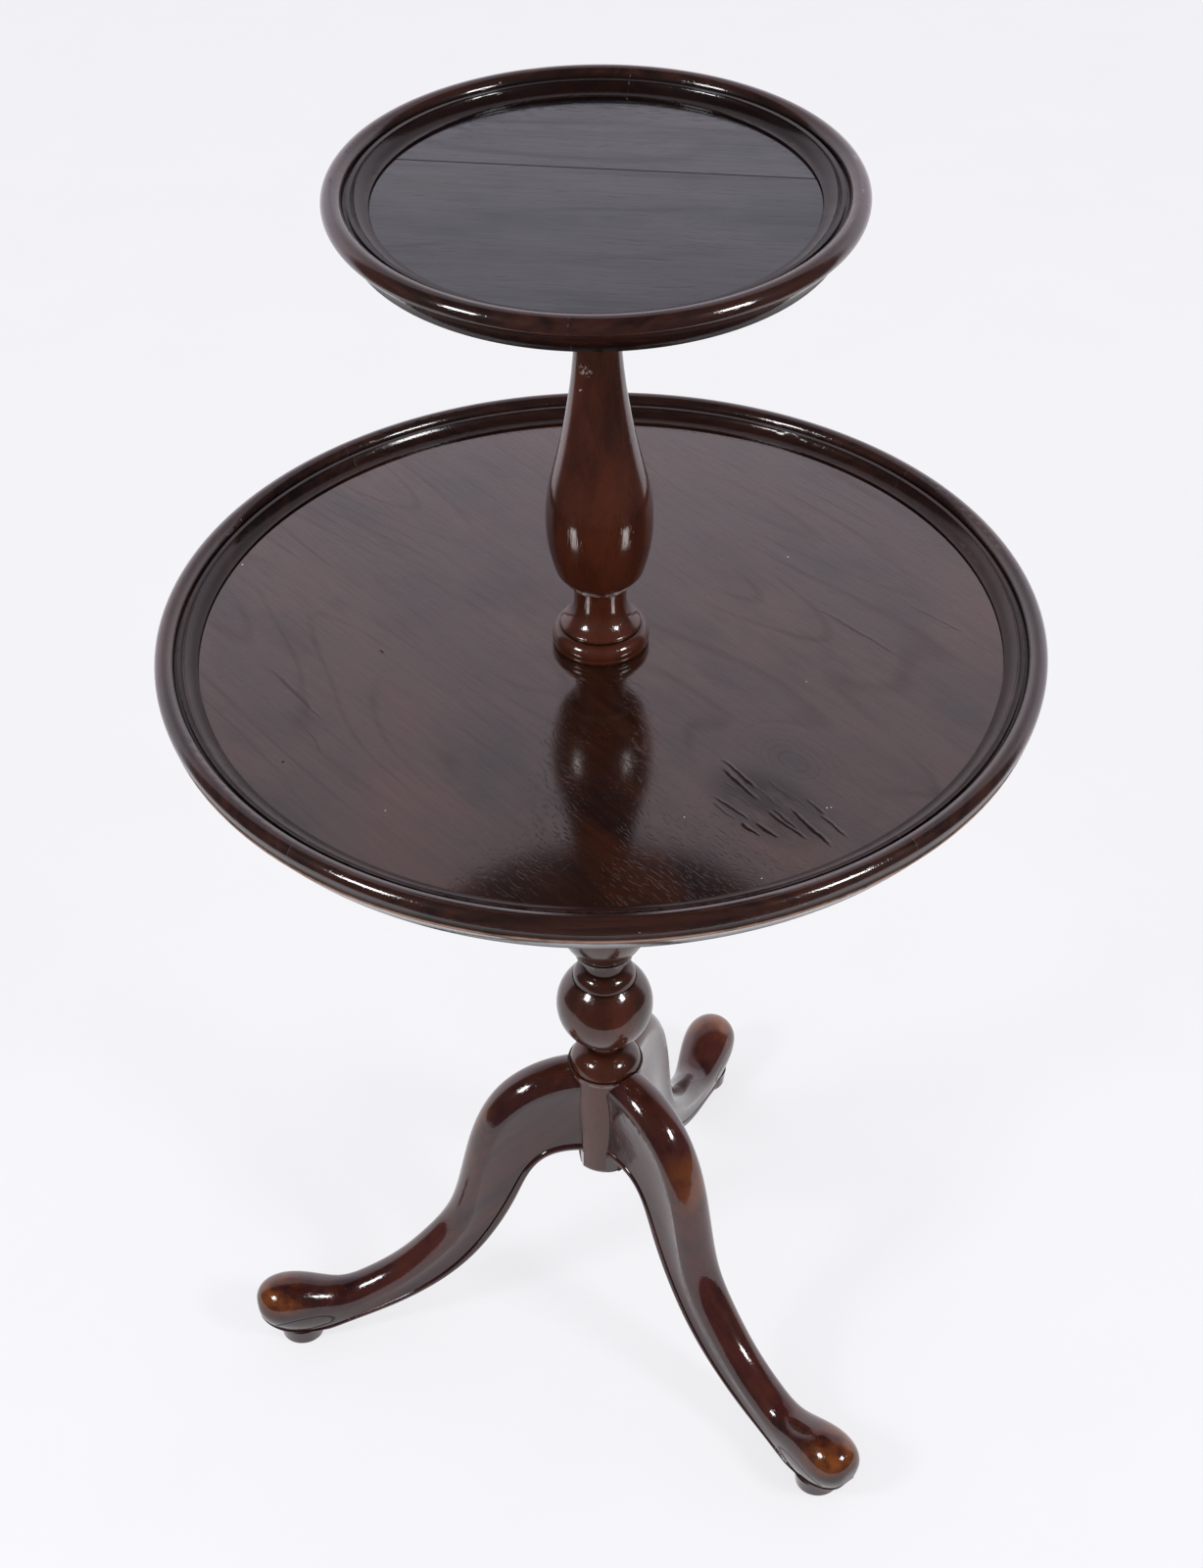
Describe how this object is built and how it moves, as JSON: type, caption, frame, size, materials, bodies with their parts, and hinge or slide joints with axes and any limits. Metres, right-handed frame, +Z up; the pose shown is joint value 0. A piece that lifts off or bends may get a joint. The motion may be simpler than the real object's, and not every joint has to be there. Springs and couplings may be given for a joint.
{
  "type": "tiered side table",
  "caption": "Two-tier round side table with revolving dished trays, turned baluster stem and tripod of cabriole legs on pad feet, for serving and display",
  "frame": {"origin": "on the floor, on the axis of the stem", "axes": "+Z up along the stem, -Y towards the picture's viewer, +X to the viewer's right"},
  "size_m": [0.58, 0.58, 0.9746],
  "materials": {
    "turned_wood": "polished dark red-brown mahogany, semi-gloss",
    "rim_wood": "polished dark red-brown mahogany, worn along the edges",
    "lower_field_wood": "polished brown mahogany board with small checks",
    "upper_field_wood": "polished brown-black mahogany boards",
    "wrought_iron": "dull black iron",
    "steel_screws": "dull steel"
  },
  "bodies": {
    "stand": {"pillar": "turned_wood", "leg_back": "turned_wood", "leg_left": "turned_wood", "leg_right": "turned_wood", "leg_brace": "wrought_iron", "leg_brace_screws": "steel_screws", "upper_column": "turned_wood"},
    "lower_tier": {"lower_panel": "lower_field_wood", "lower_bearer": "turned_wood", "lower_bearer_screws": "steel_screws", "lower_rim_segment_back": "rim_wood", "lower_rim_segment_left": "rim_wood", "lower_rim_segment_front": "rim_wood", "lower_rim_segment_right": "rim_wood"},
    "upper_tier": {"upper_panel_front_board": "upper_field_wood", "upper_panel_back_board": "upper_field_wood", "upper_bearer": "turned_wood", "upper_bearer_screws": "steel_screws", "upper_rim_segment_back_right": "rim_wood", "upper_rim_segment_back_left": "rim_wood", "upper_rim_segment_front_left": "rim_wood", "upper_rim_segment_front_right": "rim_wood"}
  },
  "joints": [
    {"name": "lower_tier_spin", "type": "hinge", "parent": "stand", "child": "lower_tier", "pos_m": [0, 0, 0.6328], "axis": [0, 0, 1], "continuous": true},
    {"name": "upper_tier_spin", "type": "hinge", "parent": "stand", "child": "upper_tier", "pos_m": [0, 0, 0.9501], "axis": [0, 0, 1], "continuous": true}
  ]
}
